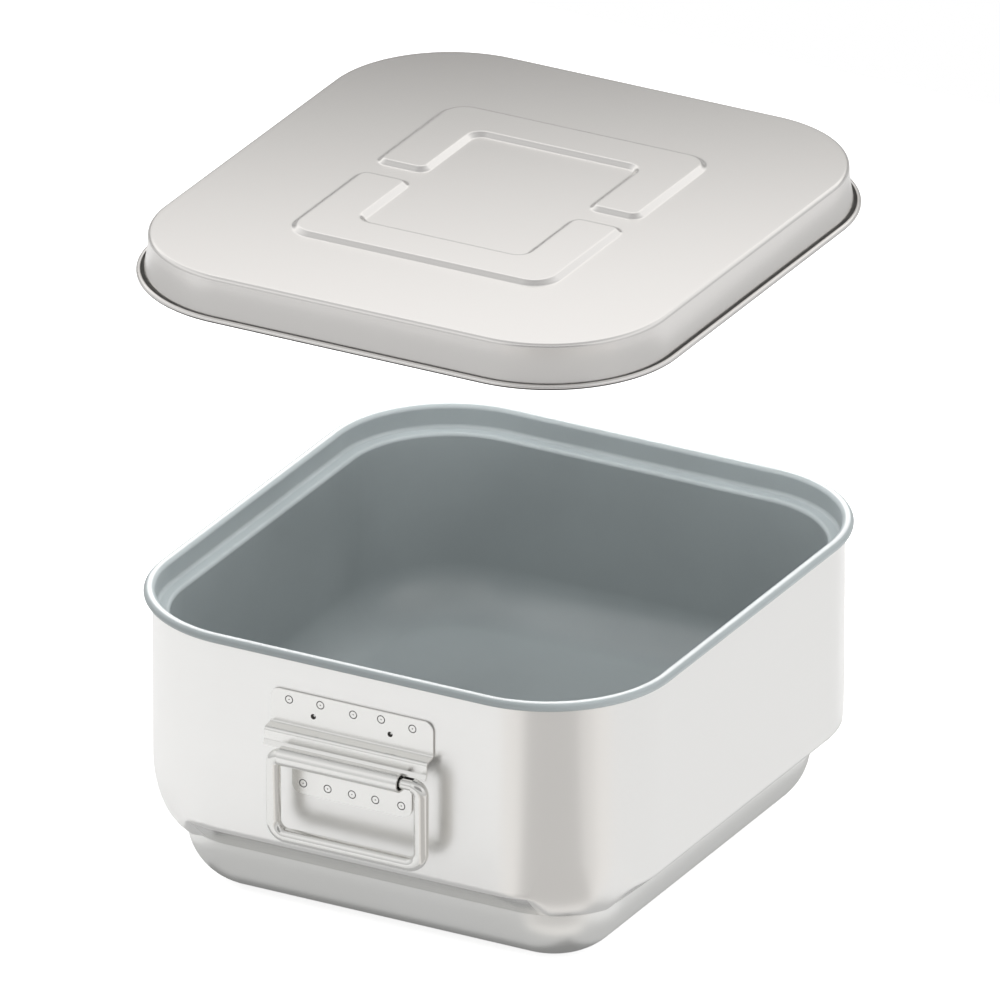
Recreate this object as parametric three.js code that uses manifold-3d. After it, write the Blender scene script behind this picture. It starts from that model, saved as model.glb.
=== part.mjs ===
// Double-walled stainless steel storage box with a coated inner pot, two drop handles and a lift-off lid.
// Millimetres, +Z up. The origin is the middle of the flat base. The handles are on the -Y and +Y sides.
// An inset is measured inward, in plan, from the centre line of the rolled rim.
import * as THREE from 'three';
import { mergeVertices } from 'three/addons/utils/BufferGeometryUtils.js';
import Module from 'manifold-3d';

const wasm = await Module();
wasm.setup();

// Rim and sheet
const RIM_HALF_X = 170;
const RIM_HALF_Y = 184.7;
const RIM_CORNER = 79;
const RIM_HEIGHT = 186;
const ROLL_RADIUS = 3;
const SHEET = 0.8;
const SEAT_GAP = 0.3;
const FOAM_GAP = 2;

// Outer wall and base pan
const WALL_INSET = 2.2;
const SEAM_HEIGHT = 39;
const SEAM_STEP = 22.5;
const SEAM_CORNER = 47;
const CHAMFER_HEIGHT = 20;
const CORNER_CURVE_HEIGHT = 43;
const BASE_FILLET = 38;
const CHAMFER_END = 0.2;
const CHAMFER_FADE = 0.1;

// Inner pot: its floor lies over the height of the seam
const LEDGE_DROP = 12;
const LEDGE_WIDTH = 8.9;
const LEDGE_ROUND = 2.5;
const POT_FLOOR_RISE = 20;
const POT_FILLET = 30;

// Lid
const LID_RISE = 28;
const LID_EDGE_ROUND = 2.4;
const LID_TOP_INSET = 0.6;
const LID_FLARE = 2.8;
const LID_BEAD_RADIUS = 1.6;
const LID_LIFT = 207;
const RING_HALF_X = 88;
const RING_HALF_Y = 105;
const RING_BAND = 32;
const RING_GAP = 18;
const RING_CORNER = 16;
const RING_INNER_CORNER = 8;
const RING_RISE = 2.4;

// Handle bracket: one stamped sheet, measured outward from the wall and down from the rim
const BRACKET_SHEET = 1.2;
const BRACKET_TOP_DROP = 23.5;
const FLANGE_HEIGHT = 22.5;
const FLANGE_HALF = 55;
const FLANGE_CORNER = 6;
const LAND_OUT = 8.6;
const LAND_HEIGHT = 7;
const KNUCKLE_HALF = 40.5;
const KNUCKLE_START = 150;
const LOWER_FLANGE_DROP = 89;
const HOLE_RADIUS = 1.75;
const HOLE_HALF_SPACING = 26;
const HOLE_DROP = 37;

// Drop handle: a bent rod whose ends turn into the bracket's knuckle
const ROD_RADIUS = 4.5;
const PIN_RADIUS = 3.2;
const PIN_LENGTH = 18;
const PIVOT_OUT = 15;
const PIVOT_DROP = 60;
const ROD_CLEARANCE = 0.35;
const ARM_HALF = 50;
const SIDE_PLAY = 4.5;
const HANDLE_DROP = 51.5;
const ELBOW_BEND = 5.5;
const GRIP_BEND = 9;

// Facets
const CORNER_STEPS = 10;
const CURVE_STEPS = 6;
const ROD_SIDES = 10;
const ROD_STEPS = 64;
const BEND_STEPS = 4;
const SMALL_STEPS = 3;
const WELD_DISTANCE = 1e-4;

// Values worked out from the sizes above
const LIP_INSET = WALL_INSET + SHEET + SEAT_GAP + SHEET;
const POT_INSET = LIP_INSET + LEDGE_WIDTH;
const LEDGE_HEIGHT = RIM_HEIGHT - LEDGE_DROP;
const FLOOR_HEIGHT = SEAM_HEIGHT + POT_FLOOR_RISE;
const SEAM_INSET = WALL_INSET + SEAM_STEP;
const WALL_TOP = RIM_HEIGHT - ROLL_RADIUS - SEAT_GAP;
const WALL_FACE_Y = RIM_HALF_Y - WALL_INSET;
const LID_BEAD_OUT = ROLL_RADIUS + SEAT_GAP + LID_BEAD_RADIUS;
const RIGHT_ANGLE = Math.PI / 2;

const STEEL = { color: 0xd9d9d6, metalness: 0.9, roughness: 0.38 };
const POLISHED = { color: 0xe4e3df, metalness: 0.95, roughness: 0.22 };
const COATING = { color: 0x7f8788, metalness: 0.2, roughness: 0.5 };
const FOAM = { color: 0xe6d9b0, metalness: 0, roughness: 0.95 };

// Points of a quarter or part ellipse in a section, as [inset, height] pairs; angle 0 points inward
function arc(inset, height, reach, rise, from, to, steps = CURVE_STEPS) {
  const points = [];
  for (let i = 0; i <= steps; i += 1) {
    const angle = THREE.MathUtils.degToRad(from + ((to - from) * i) / steps);
    points.push([inset + reach * Math.cos(angle), height + rise * Math.sin(angle)]);
  }
  return points;
}

// Turns of the outline's points, and how far each belongs to a corner (1) or to a flat side (0).
// The chamfer of a flat side ends at a fraction of the corner's turn and fades over another fraction.
const TURNS = [];
const CORNER_SHARE = [];
for (let corner = 0; corner < 4; corner += 1) {
  for (let i = 0; i <= CORNER_STEPS; i += 1) {
    const fraction = i / CORNER_STEPS;
    TURNS.push({ corner, angle: (corner + fraction) * RIGHT_ANGLE });
    const fromSide = Math.min(fraction, 1 - fraction);
    CORNER_SHARE.push(THREE.MathUtils.clamp((fromSide - CHAMFER_END) / CHAMFER_FADE, 0, 1));
  }
}

// One point of the rounded-rectangle outline at an inset
function outlinePoint(turn, inset, height, radius) {
  const signX = turn.corner === 0 || turn.corner === 3 ? 1 : -1;
  const signY = turn.corner < 2 ? 1 : -1;
  const x = signX * (RIM_HALF_X - inset - radius) + radius * Math.cos(turn.angle);
  const y = signY * (RIM_HALF_Y - inset - radius) + radius * Math.sin(turn.angle);
  return new THREE.Vector3(x, y, height);
}

function ring([inset, height], radius = RIM_CORNER - inset) {
  return TURNS.map((turn) => outlinePoint(turn, inset, height, radius));
}

// A solid skinned over rings: a closed band, or a body whose first and last rings are capped
function skin(rings, closed) {
  const count = TURNS.length;
  const positions = rings.flat().flatMap((point) => point.toArray());
  const index = [];
  const last = closed ? rings.length : rings.length - 1;
  for (let k = 0; k < last; k += 1) {
    const low = k * count;
    const high = ((k + 1) % rings.length) * count;
    for (let i = 0; i < count; i += 1) {
      const next = (i + 1) % count;
      index.push(low + i, low + next, high + next);
      index.push(low + i, high + next, high + i);
    }
  }
  if (!closed) {
    const first = rings.length * count;
    const top = (rings.length - 1) * count;
    positions.push(0, 0, rings[0][0].z, 0, 0, rings[rings.length - 1][0].z);
    for (let i = 0; i < count; i += 1) {
      const next = (i + 1) % count;
      index.push(first, next, i);
      index.push(first + 1, top + i, top + next);
    }
  }
  const geometry = new THREE.BufferGeometry();
  geometry.setAttribute('position', new THREE.Float32BufferAttribute(positions, 3));
  geometry.setIndex(index);
  return geometry;
}

// A closed geometry as a solid for joining and cutting, and back
function solid(geometry) {
  const bare = geometry.clone();
  bare.deleteAttribute('normal');
  bare.deleteAttribute('uv');
  const merged = mergeVertices(bare, WELD_DISTANCE);
  return new wasm.Manifold(new wasm.Mesh({
    numProp: 3,
    vertProperties: new Float32Array(merged.attributes.position.array),
    triVerts: new Uint32Array(merged.index.array),
  }));
}

function geometryOf(body) {
  const mesh = body.getMesh();
  const geometry = new THREE.BufferGeometry();
  geometry.setAttribute('position', new THREE.BufferAttribute(mesh.vertProperties, 3));
  geometry.setIndex(new THREE.BufferAttribute(mesh.triVerts, 1));
  return geometry;
}

function part(name, geometry, finish) {
  geometry.computeVertexNormals();
  const mesh = new THREE.Mesh(geometry, new THREE.MeshStandardMaterial(finish));
  mesh.name = name;
  return mesh;
}

// Outer wall: straight, chamfered under the flat sides and rounded in under the corners, down to the seam
function wallRing(fraction, offset) {
  const angle = fraction * RIGHT_ANGLE;
  return TURNS.map((turn, i) => {
    const share = CORNER_SHARE[i];
    const step = SEAM_STEP * THREE.MathUtils.lerp(fraction, 1 - Math.cos(angle), share);
    const flatHeight = SEAM_HEIGHT + CHAMFER_HEIGHT * (1 - fraction);
    const roundHeight = SEAM_HEIGHT + CORNER_CURVE_HEIGHT * (1 - Math.sin(angle));
    const height = THREE.MathUtils.lerp(flatHeight, roundHeight, share) + offset;
    const inset = WALL_INSET + step + offset;
    const sharper = (step / SEAM_STEP) * (RIM_CORNER - SEAM_INSET - SEAM_CORNER);
    return outlinePoint(turn, inset, height, RIM_CORNER - inset - sharper);
  });
}

function lowerWallRings(offset) {
  const rings = [];
  for (let i = 0; i <= CURVE_STEPS; i += 1) {
    rings.push(wallRing(1 - i / CURVE_STEPS, offset));
  }
  return rings;
}

function outerWall() {
  const outside = [...lowerWallRings(0), ring([WALL_INSET, WALL_TOP])];
  const inside = [...lowerWallRings(SHEET), ring([WALL_INSET + SHEET, WALL_TOP])];
  return part('outer_wall', skin([...outside, ...inside.reverse()], true), STEEL);
}

// Base pan: a shallow bowl closed by a flat base, under the seam
function basePan() {
  const top = SEAM_HEIGHT - SEAT_GAP;
  const curve = arc(SEAM_INSET + BASE_FILLET, top, BASE_FILLET, top, 270, 180);
  const panRing = ([inset, height], offset) => {
    const radius = SEAM_CORNER - (inset - SEAM_INSET) - offset;
    return ring([inset + offset, Math.min(height + offset, top)], radius);
  };
  const outside = curve.map((point) => panRing(point, 0));
  const inside = curve.map((point) => panRing(point, SHEET));
  return part('base_pan', skin([...outside, ...inside.reverse()], false), STEEL);
}

// Inner pot: floor, wall, ledge and lip in one sheet that ends in the rolled rim
function potFloorCurve() {
  return arc(POT_INSET + POT_FILLET, FLOOR_HEIGHT + POT_FILLET, POT_FILLET, POT_FILLET, 270, 180);
}

function potProfile() {
  const bend = LEDGE_ROUND;
  const turnOut = arc(POT_INSET - bend, LEDGE_HEIGHT - bend, bend, bend, 0, 90, SMALL_STEPS);
  const turnUp = arc(LIP_INSET + bend, LEDGE_HEIGHT + bend, bend, bend, 270, 180, SMALL_STEPS);
  return [...potFloorCurve(), ...turnOut, ...turnUp];
}

function rolledRim() {
  const reach = (LIP_INSET + ROLL_RADIUS) / 2;
  const middle = LIP_INSET - reach;
  const tuck = THREE.MathUtils.radToDeg(Math.acos((LIP_INSET - SHEET - middle) / reach));
  return arc(middle, RIM_HEIGHT, reach, ROLL_RADIUS, 360 - tuck, 0, 2 * CURVE_STEPS);
}

function innerPot() {
  const inside = potProfile();
  const outside = inside.map(([inset, height]) => [inset - SHEET, height - SHEET]);
  const section = [...outside, ...rolledRim(), ...inside.reverse()];
  return part('inner_pot', skin(section.map((point) => ring(point)), false), COATING);
}

// Insulation: foam that fills the space between the outer wall and the pot
function insulation() {
  const spacing = SHEET + SEAT_GAP;
  const wallSpacing = SHEET + FOAM_GAP;
  const top = LEDGE_HEIGHT - LEDGE_ROUND - spacing;
  const wallSide = [...lowerWallRings(wallSpacing), ring([WALL_INSET + wallSpacing, top])];
  const potSide = potFloorCurve().map(([inset, height]) => ring([inset - spacing, height - spacing]));
  const shoulder = ring([POT_INSET - spacing, top]);
  return part('insulation', skin([...wallSide, shoulder, ...potSide.reverse()], false), FOAM);
}

// Lid: a pressed cover whose skirt flares to a flange and bead over the rolled rim
function lidSection() {
  const flangeTop = ROLL_RADIUS + SEAT_GAP + SHEET;
  const beadMiddle = flangeTop - LID_BEAD_RADIUS;
  const round = LID_EDGE_ROUND;
  const edge = arc(LID_TOP_INSET + round, LID_RISE - round, round, round, 90, 180, SMALL_STEPS);
  const outside = [...edge, [LID_TOP_INSET - LID_FLARE, flangeTop]];
  const inside = outside.map(([inset, height]) => [inset + SHEET, height - SHEET]);
  const reach = LID_BEAD_RADIUS;
  const bead = arc(-LID_BEAD_OUT, beadMiddle, reach, reach, 0, -270, 2 * CURVE_STEPS);
  const flangeFoot = [-(LID_BEAD_OUT - reach), flangeTop - SHEET];
  return [...inside, flangeFoot, ...bead, ...outside.reverse()];
}

function ringPads(shrink, bottom, top) {
  const halves = [1, -1].map((side) => {
    const outerX = RING_HALF_X - shrink;
    const outerY = RING_HALF_Y - shrink;
    const innerX = RING_HALF_X - RING_BAND + shrink;
    const innerY = RING_HALF_Y - RING_BAND + shrink;
    const near = RING_GAP / 2 + shrink;
    const outerRound = RING_CORNER - shrink;
    const innerRound = RING_INNER_CORNER + shrink;
    const shape = new THREE.Shape();
    shape.moveTo(outerX, near);
    shape.lineTo(outerX, outerY - outerRound);
    shape.absarc(outerX - outerRound, outerY - outerRound, outerRound, 0, RIGHT_ANGLE);
    shape.lineTo(-outerX + outerRound, outerY);
    shape.absarc(-outerX + outerRound, outerY - outerRound, outerRound, RIGHT_ANGLE, Math.PI);
    shape.lineTo(-outerX, near);
    shape.lineTo(-innerX, near);
    shape.lineTo(-innerX, innerY - innerRound);
    shape.absarc(-innerX + innerRound, innerY - innerRound, innerRound, Math.PI, RIGHT_ANGLE, true);
    shape.lineTo(innerX - innerRound, innerY);
    shape.absarc(innerX - innerRound, innerY - innerRound, innerRound, RIGHT_ANGLE, 0, true);
    shape.lineTo(innerX, near);
    const pad = new THREE.ExtrudeGeometry(shape, {
      depth: top - bottom,
      bevelEnabled: false,
      curveSegments: BEND_STEPS,
    });
    pad.rotateZ(side > 0 ? 0 : Math.PI);
    pad.translate(0, 0, bottom);
    return solid(pad);
  });
  return halves[0].add(halves[1]);
}

function lid() {
  const shell = solid(skin(lidSection().map((point) => ring(point)), false));
  const raised = ringPads(0, LID_RISE - SHEET / 2, LID_RISE + RING_RISE);
  const pocket = ringPads(SHEET, LID_RISE - 2 * SHEET, LID_RISE + RING_RISE - SHEET);
  const mesh = part('lid', geometryOf(shell.add(raised).subtract(pocket)), STEEL);
  mesh.position.z = RIM_HEIGHT + LID_LIFT;
  return mesh;
}

// A bent sheet's section: its centre path, as [out, height] points, thickened to both sides
function sheetShape(path) {
  const points = path.map(([out, height]) => new THREE.Vector2(out, height));
  const sides = points.map((point, i) => {
    const before = points[Math.max(i - 1, 0)];
    const after = points[Math.min(i + 1, points.length - 1)];
    const into = (i > 0 ? point.clone().sub(before) : after.clone().sub(point)).normalize();
    const onward = (i < points.length - 1 ? after.clone().sub(point) : into.clone()).normalize();
    const across = new THREE.Vector2(-into.y - onward.y, into.x + onward.x).normalize();
    const stretch = across.x * -into.y + across.y * into.x;
    return across.multiplyScalar(BRACKET_SHEET / 2 / stretch);
  });
  const left = points.map((point, i) => point.clone().add(sides[i]));
  const right = points.map((point, i) => point.clone().sub(sides[i]));
  return new THREE.Shape([...left, ...right.reverse()]);
}

// A shape at the front wall: drawn in section and run along the wall, or drawn on it and run outward
const SECTION_AXES = [new THREE.Vector3(0, -1, 0), new THREE.Vector3(0, 0, 1), new THREE.Vector3(-1, 0, 0)];
const FACE_AXES = [new THREE.Vector3(1, 0, 0), new THREE.Vector3(0, 0, 1), new THREE.Vector3(0, -1, 0)];

function wallPrism(shape, axes, depth, from) {
  const settings = { depth, bevelEnabled: false, curveSegments: BEND_STEPS };
  const geometry = new THREE.ExtrudeGeometry(shape, settings);
  geometry.translate(0, 0, from);
  geometry.applyMatrix4(new THREE.Matrix4().makeBasis(...axes));
  geometry.translate(0, -WALL_FACE_Y - SEAT_GAP, RIM_HEIGHT);
  return solid(geometry);
}

// A plate outline on the wall with two rounded corners, at its upper or lower end
function plateOutline(half, squareEnd, roundEnd) {
  const toRound = Math.sign(roundEnd - squareEnd);
  const cornerHeight = roundEnd - toRound * FLANGE_CORNER;
  const shape = new THREE.Shape();
  shape.moveTo(-half, squareEnd);
  shape.lineTo(half, squareEnd);
  shape.lineTo(half, cornerHeight);
  shape.quadraticCurveTo(half, roundEnd, half - FLANGE_CORNER, roundEnd);
  shape.lineTo(-half + FLANGE_CORNER, roundEnd);
  shape.quadraticCurveTo(-half, roundEnd, -half, cornerHeight);
  return shape;
}

// Handle bracket: flange, shelf, land and lip above, then the knuckle round the pivot and the lower flange
function bracket(name) {
  const skinMiddle = BRACKET_SHEET / 2;
  const shelfDrop = BRACKET_TOP_DROP + FLANGE_HEIGHT;
  const landTop = shelfDrop + BRACKET_SHEET;
  const landFoot = [LAND_OUT, -landTop - LAND_HEIGHT];
  const curl = ROD_RADIUS + ROD_CLEARANCE + skinMiddle;
  const knuckle = arc(PIVOT_OUT, -PIVOT_DROP, curl, curl, KNUCKLE_START, -90, 2 * CURVE_STEPS);
  const upperPath = [
    [skinMiddle, -BRACKET_TOP_DROP],
    [skinMiddle, -shelfDrop],
    [LAND_OUT, -landTop],
    landFoot,
    knuckle[0],
  ];
  const lowerPath = [
    landFoot,
    ...knuckle,
    [skinMiddle, -PIVOT_DROP - curl],
    [skinMiddle, -LOWER_FLANGE_DROP],
  ];
  const reach = PIVOT_OUT + 2 * curl;
  const upperPlate = plateOutline(FLANGE_HALF, -LOWER_FLANGE_DROP, -BRACKET_TOP_DROP);
  const lowerPlate = plateOutline(KNUCKLE_HALF, 0, -LOWER_FLANGE_DROP);
  const upper = wallPrism(sheetShape(upperPath), SECTION_AXES, 2 * FLANGE_HALF, -FLANGE_HALF)
    .intersect(wallPrism(upperPlate, FACE_AXES, reach, 0));
  const lower = wallPrism(sheetShape(lowerPath), SECTION_AXES, 2 * KNUCKLE_HALF, -KNUCKLE_HALF)
    .intersect(wallPrism(lowerPlate, FACE_AXES, reach, 0));
  let sheet = upper.add(lower);
  for (const side of [-1, 1]) {
    const hole = new THREE.Shape();
    hole.absarc(side * HOLE_HALF_SPACING, -HOLE_DROP, HOLE_RADIUS, 0, 2 * Math.PI);
    sheet = sheet.subtract(wallPrism(hole, FACE_AXES, 2 * BRACKET_SHEET, -skinMiddle));
  }
  return part(name, geometryOf(sheet), POLISHED);
}

// Drop handle: a bent rod on two thinner pins in the knuckle, slid to one side of its play
function handle(name) {
  const elbow = ARM_HALF - ELBOW_BEND;
  const grip = ARM_HALF - GRIP_BEND;
  const gripHeight = -HANDLE_DROP + GRIP_BEND;
  const route = new THREE.Path();
  route.moveTo(-elbow, 0);
  route.absarc(-elbow, -ELBOW_BEND, ELBOW_BEND, RIGHT_ANGLE, Math.PI);
  route.lineTo(-ARM_HALF, gripHeight);
  route.absarc(-grip, gripHeight, GRIP_BEND, Math.PI, 3 * RIGHT_ANGLE);
  route.lineTo(grip, -HANDLE_DROP);
  route.absarc(grip, gripHeight, GRIP_BEND, -RIGHT_ANGLE, 0);
  route.lineTo(ARM_HALF, -ELBOW_BEND);
  route.absarc(elbow, -ELBOW_BEND, ELBOW_BEND, 0, RIGHT_ANGLE);
  const middle = route.getSpacedPoints(ROD_STEPS).map(({ x, y }) => new THREE.Vector3(x, 0, y));
  const rod = new THREE.Shape();
  rod.absarc(0, 0, ROD_RADIUS, 0, 2 * Math.PI);
  const geometry = new THREE.ExtrudeGeometry(rod, {
    steps: ROD_STEPS,
    curveSegments: ROD_SIDES / 2,
    extrudePath: new THREE.CatmullRomCurve3(middle),
  });
  let body = solid(geometry);
  for (const side of [-1, 1]) {
    const pin = new THREE.CylinderGeometry(PIN_RADIUS, PIN_RADIUS, PIN_LENGTH + ELBOW_BEND, ROD_SIDES);
    pin.rotateZ(RIGHT_ANGLE);
    pin.translate(side * (elbow + (ELBOW_BEND - PIN_LENGTH) / 2), 0, 0);
    body = body.add(solid(pin));
  }
  const mesh = part(name, geometryOf(body), POLISHED);
  mesh.position.set(SIDE_PLAY, -WALL_FACE_Y - SEAT_GAP - PIVOT_OUT, RIM_HEIGHT - PIVOT_DROP);
  return mesh;
}

function handleSet(place, turn) {
  const group = new THREE.Group();
  group.rotation.z = turn;
  group.add(bracket(`handle_bracket_${place}`), handle(`handle_${place}`));
  return group;
}

const box = new THREE.Group();
box.add(outerWall(), basePan(), innerPot(), insulation(), lid());
box.add(handleSet('front', 0), handleSet('rear', Math.PI));

export default box;
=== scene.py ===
# Looks for a double-walled stainless steel storage box: coated pot, two drop handles and a lift-off lid.
# Sizes are in millimetres and become metres when a mesh, a lamp or the camera is made.
# The handles are on the -Y and +Y sides. An inset is measured inward, in plan, from the line of the rim.
import math

import bpy
from mathutils import Matrix, Vector
from mathutils.geometry import delaunay_2d_cdt

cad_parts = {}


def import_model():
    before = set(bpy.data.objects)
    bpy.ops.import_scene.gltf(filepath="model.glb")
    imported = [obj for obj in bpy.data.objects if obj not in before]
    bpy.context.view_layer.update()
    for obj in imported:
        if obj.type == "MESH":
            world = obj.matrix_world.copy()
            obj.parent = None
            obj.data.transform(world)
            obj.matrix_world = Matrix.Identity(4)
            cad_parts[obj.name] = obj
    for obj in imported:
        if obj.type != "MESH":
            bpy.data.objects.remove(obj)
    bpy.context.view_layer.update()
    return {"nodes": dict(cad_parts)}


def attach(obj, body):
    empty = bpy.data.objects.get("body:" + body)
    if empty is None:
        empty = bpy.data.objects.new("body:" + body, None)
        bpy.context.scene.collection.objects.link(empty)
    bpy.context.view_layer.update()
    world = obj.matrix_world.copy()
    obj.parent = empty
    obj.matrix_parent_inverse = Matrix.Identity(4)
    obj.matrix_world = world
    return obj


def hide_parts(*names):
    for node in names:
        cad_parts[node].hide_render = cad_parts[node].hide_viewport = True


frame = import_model()

MM = 0.001

# Rim and sheet
RIM_HALF_X = 170
RIM_HALF_Y = 184.7
RIM_CORNER = 79
RIM_HEIGHT = 186
ROLL_RADIUS = 3
SHEET = 0.8
SEAT_GAP = 0.3
SEAM_GAP = 0.03

# Outer wall and base pan; the slanted band fades out over these shares of a corner's turn
WALL_INSET = 2.2
SEAM_HEIGHT = 39
SEAM_STEP = 22.5
SEAM_CORNER = 47
CHAMFER_HEIGHT = 20
CHAMFER_BEND = 6
CHAMFER_END = 0.2
CHAMFER_FADE = 0.1
CORNER_CURVE_HEIGHT = 43
BASE_FILLET = 38

# Inner pot
LEDGE_DROP = 12
LEDGE_WIDTH = 8.9
LEDGE_ROUND = 2.5
POT_FLOOR_RISE = 20
POT_FILLET = 30
# Painted highlight along the top of the rolled rim: how far down it fades, and its colour
CREST_HIGHLIGHT_FADE = 0.5
CREST_HIGHLIGHT_COLOUR = (0.58, 0.6, 0.605)

# Lid; the bead's start and end are angles round its middle
LID_RISE = 28
LID_EDGE_ROUND = 2.4
LID_TOP_INSET = 0.6
LID_FLARE = 2.8
LID_FLARE_CURVE = 1.9
LID_FLARE_STEPS = 6
LID_BEAD_RADIUS = 1.6
LID_BEAD_LIFT = 0.4
LID_BEAD_START = -30
LID_BEAD_END = -320
LID_GROOVE = 0.5
# The lid's painted shade covers the groove by the bead from this far in, and the bead's underside up to this
# height
LID_CREVICE_SHADE_IN = 0.9
LID_CREVICE_SHADE_HEIGHT = 2.7
LID_LIFT = 207
RING_HALF_X = 88
RING_HALF_Y = 105
RING_BAND = 32
RING_GAP = 18
RING_CORNER = 16
RING_INNER_CORNER = 8
RING_END_ROUND = 6
RING_RISE = 2.4
RING_SLOPE = 4.4

# Handle bracket, measured outward from the wall and down from the rim
BRACKET_SHEET = 1.2
BRACKET_TOP_DROP = 23.5
FLANGE_HEIGHT = 22.5
FLANGE_HALF = 55
FLANGE_CORNER = 6
LAND_OUT = 8.6
LAND_HEIGHT = 7
BRACKET_BEND = 1.8
BRACKET_EDGE = 0.25
BRACKET_EDGE_STEPS = 2
KNUCKLE_HALF = 40.5
KNUCKLE_START = 150
KNUCKLE_END = -90
LOWER_FLANGE_DROP = 89
HOLE_RADIUS = 1.75
HOLE_HALF_SPACING = 26
HOLE_DROP = 37
# The painted-shade ring behind each hole reaches this far past the hole's edge, and in to this radius
HOLE_SHADE_LAP = 0.3
HOLE_SHADE_INNER = 0.6

# Spot-weld marks on the bracket, each as (place along the wall, drop under the rim)
UPPER_WELDS = [(-42.4, 29.3), (-21.2, 28.4), (1.0, 29.7), (19.9, 28.6), (41.1, 30.0)]
LOWER_WELDS = [(-33.0, 82.2), (-16.4, 82.2), (0.1, 82.2), (15.9, 82.2), (33.5, 82.2)]
WELD_RADIUS = 2.4
WELD_LINE = 0.3
WELD_PROUD = 0.1
WELD_DOT = 0.4

# Drop handle; the elbow's bend starts past the rounded shoulder, at an angle of more than 90 degrees
ROD_RADIUS = 4.5
PIN_RADIUS = 3.2
PIN_LENGTH = 18
PIVOT_OUT = 15
PIVOT_DROP = 60
ROD_CLEARANCE = 0.25
ARM_HALF = 50
SIDE_PLAY = 4.5
HANDLE_DROP = 51.5
ELBOW_BEND = 5.5
ELBOW_START = 100
GRIP_BEND = 9
SHOULDER_ROUND = 0.8

# Smoothness; the support is the width of the extra strip that keeps the flat beside a bend looking flat
CORNER_STEPS = 40
CURVE_STEPS = 16
BEND_STEPS = 8
KNUCKLE_STEPS = 20
ROUND_STEPS = 32
SUPPORT = 2.5
SHARP_ANGLE = math.radians(38)
FILL_TOLERANCE = 1e-6

# Values worked out from the sizes above
RIM_TOP = RIM_HEIGHT + ROLL_RADIUS
LIP_INSET = WALL_INSET + SHEET + SEAT_GAP + SHEET
POT_INSET = LIP_INSET + LEDGE_WIDTH
LEDGE_HEIGHT = RIM_HEIGHT - LEDGE_DROP
FLOOR_HEIGHT = SEAM_HEIGHT + POT_FLOOR_RISE
SEAM_INSET = WALL_INSET + SEAM_STEP
WALL_TOP = RIM_HEIGHT - ROLL_RADIUS - SEAT_GAP
WALL_FACE_Y = RIM_HALF_Y - WALL_INSET
LID_BEAD_OUT = ROLL_RADIUS + SEAT_GAP + LID_BEAD_RADIUS
LID_HEIGHT = RIM_HEIGHT + LID_LIFT

# Textures: most of a noise lies between these two values, and brushing turns the gloss by a quarter
NOISE_LOW = 0.3
NOISE_HIGH = 0.7
QUARTER_TURN = 0.25

# Camera: a long lens at the photograph's viewing angle, placed by where the rim's middle lies in the picture
CAMERA_AZIMUTH = math.radians(28.5)
CAMERA_ELEVATION = math.radians(24.6)
CAMERA_DISTANCE = 20000
CAMERA_REACH = 10 * CAMERA_DISTANCE
PIXELS_PER_MM = 1.673
PICTURE_SIZE = 1000
RIM_CENTRE_PIXEL = (499.5, 555.2)
SENSOR_WIDTH = 36

# Floor and sky
FLOOR_HALF = 1100
FLOOR_DROP = 0.3
FLOOR_COLOUR = (0.8, 0.8, 0.8)
FLOOR_ROUGHNESS = 0.9
FLOOR_LIFT = 0.7
FLOOR_MIRROR_LIFT = 0.08
SKY_LIGHT = 0.95
HORIZON = 0.62
SKY_BRIGHT_AT = 0.6
ZENITH = 0.52

# Studio cards that the steel mirrors
CARD_LIFT = 0.3
BACK_CARD_DISTANCE = 560
BACK_CARD_HALF = 900
BACK_CARD_BOTTOM = 490
BACK_CARD_TOP = 900
BACK_CARD_DARK = (0.22, 0.22, 0.215)
BACK_CARD_BRIGHT = (1.35, 1.34, 1.33)
BACK_CARD_DARK_TO = 0.15
BACK_CARD_BRIGHT_FROM = 0.7
FRONT_CARD_DISTANCE = 1500
FRONT_CARD_HALF = 900
FRONT_CARD_BOTTOM = 550
FRONT_CARD_TOP = 1500
FRONT_CARD_LEVEL = 0.36
CORNER_CARD_FROM = (145, -195)
CORNER_CARD_LENGTH = 1200
CORNER_CARD_NEAR_HALF = 50
CORNER_CARD_TINT = (1, 0.975, 0.95)
SIDE_CARD_GAP = 14
SIDE_CARD_WIDTH = 900
SIDE_CARD_FROM = -190
SIDE_CARD_TO = 1000
SIDE_CARD_LEVEL = 0.89

# Corner cards as (direction, half angle, level), base cards as (reach past the rim in X, in Y, level)
CORNER_CARDS = [(31, 20, 0.59), (37, 31, 0.79), (36, 50, 0.91)]
BASE_CARDS = [(0, 60, 0.54), (-38, -36, 0.24)]

# Lamps
STRIP_HEIGHT = 230
STRIP_INSET = 22
STRIP_WIDTH = 20
STRIP_LENGTH = 300
STRIP_WATTS = 0.105
TOP_LAMP_PLACE = (-400, 500, 2200)
TOP_LAMP_AIM = (0, 0, 200)
TOP_LAMP_SIZE = 500
TOP_LAMP_WATTS = 12
SIDE_LAMP_PLACE = (1200, 0, 100)
SIDE_LAMP_WIDTH = 600
SIDE_LAMP_HEIGHT = 100
SIDE_LAMP_WATTS = 6


def smooth_step(value):
    value = min(max(value, 0), 1)
    return value * value * (3 - 2 * value)


def mix(low, high, share):
    return low + (high - low) * share


# Outlines and sections

def arc(inset, height, reach, rise, start, end, steps=CURVE_STEPS):
    """Points of an arc about (inset, height), from one angle in degrees to another."""
    points = []
    for i in range(steps + 1):
        angle = math.radians(mix(start, end, i / steps))
        points.append((inset + reach * math.cos(angle), height + rise * math.sin(angle)))
    return points


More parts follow.
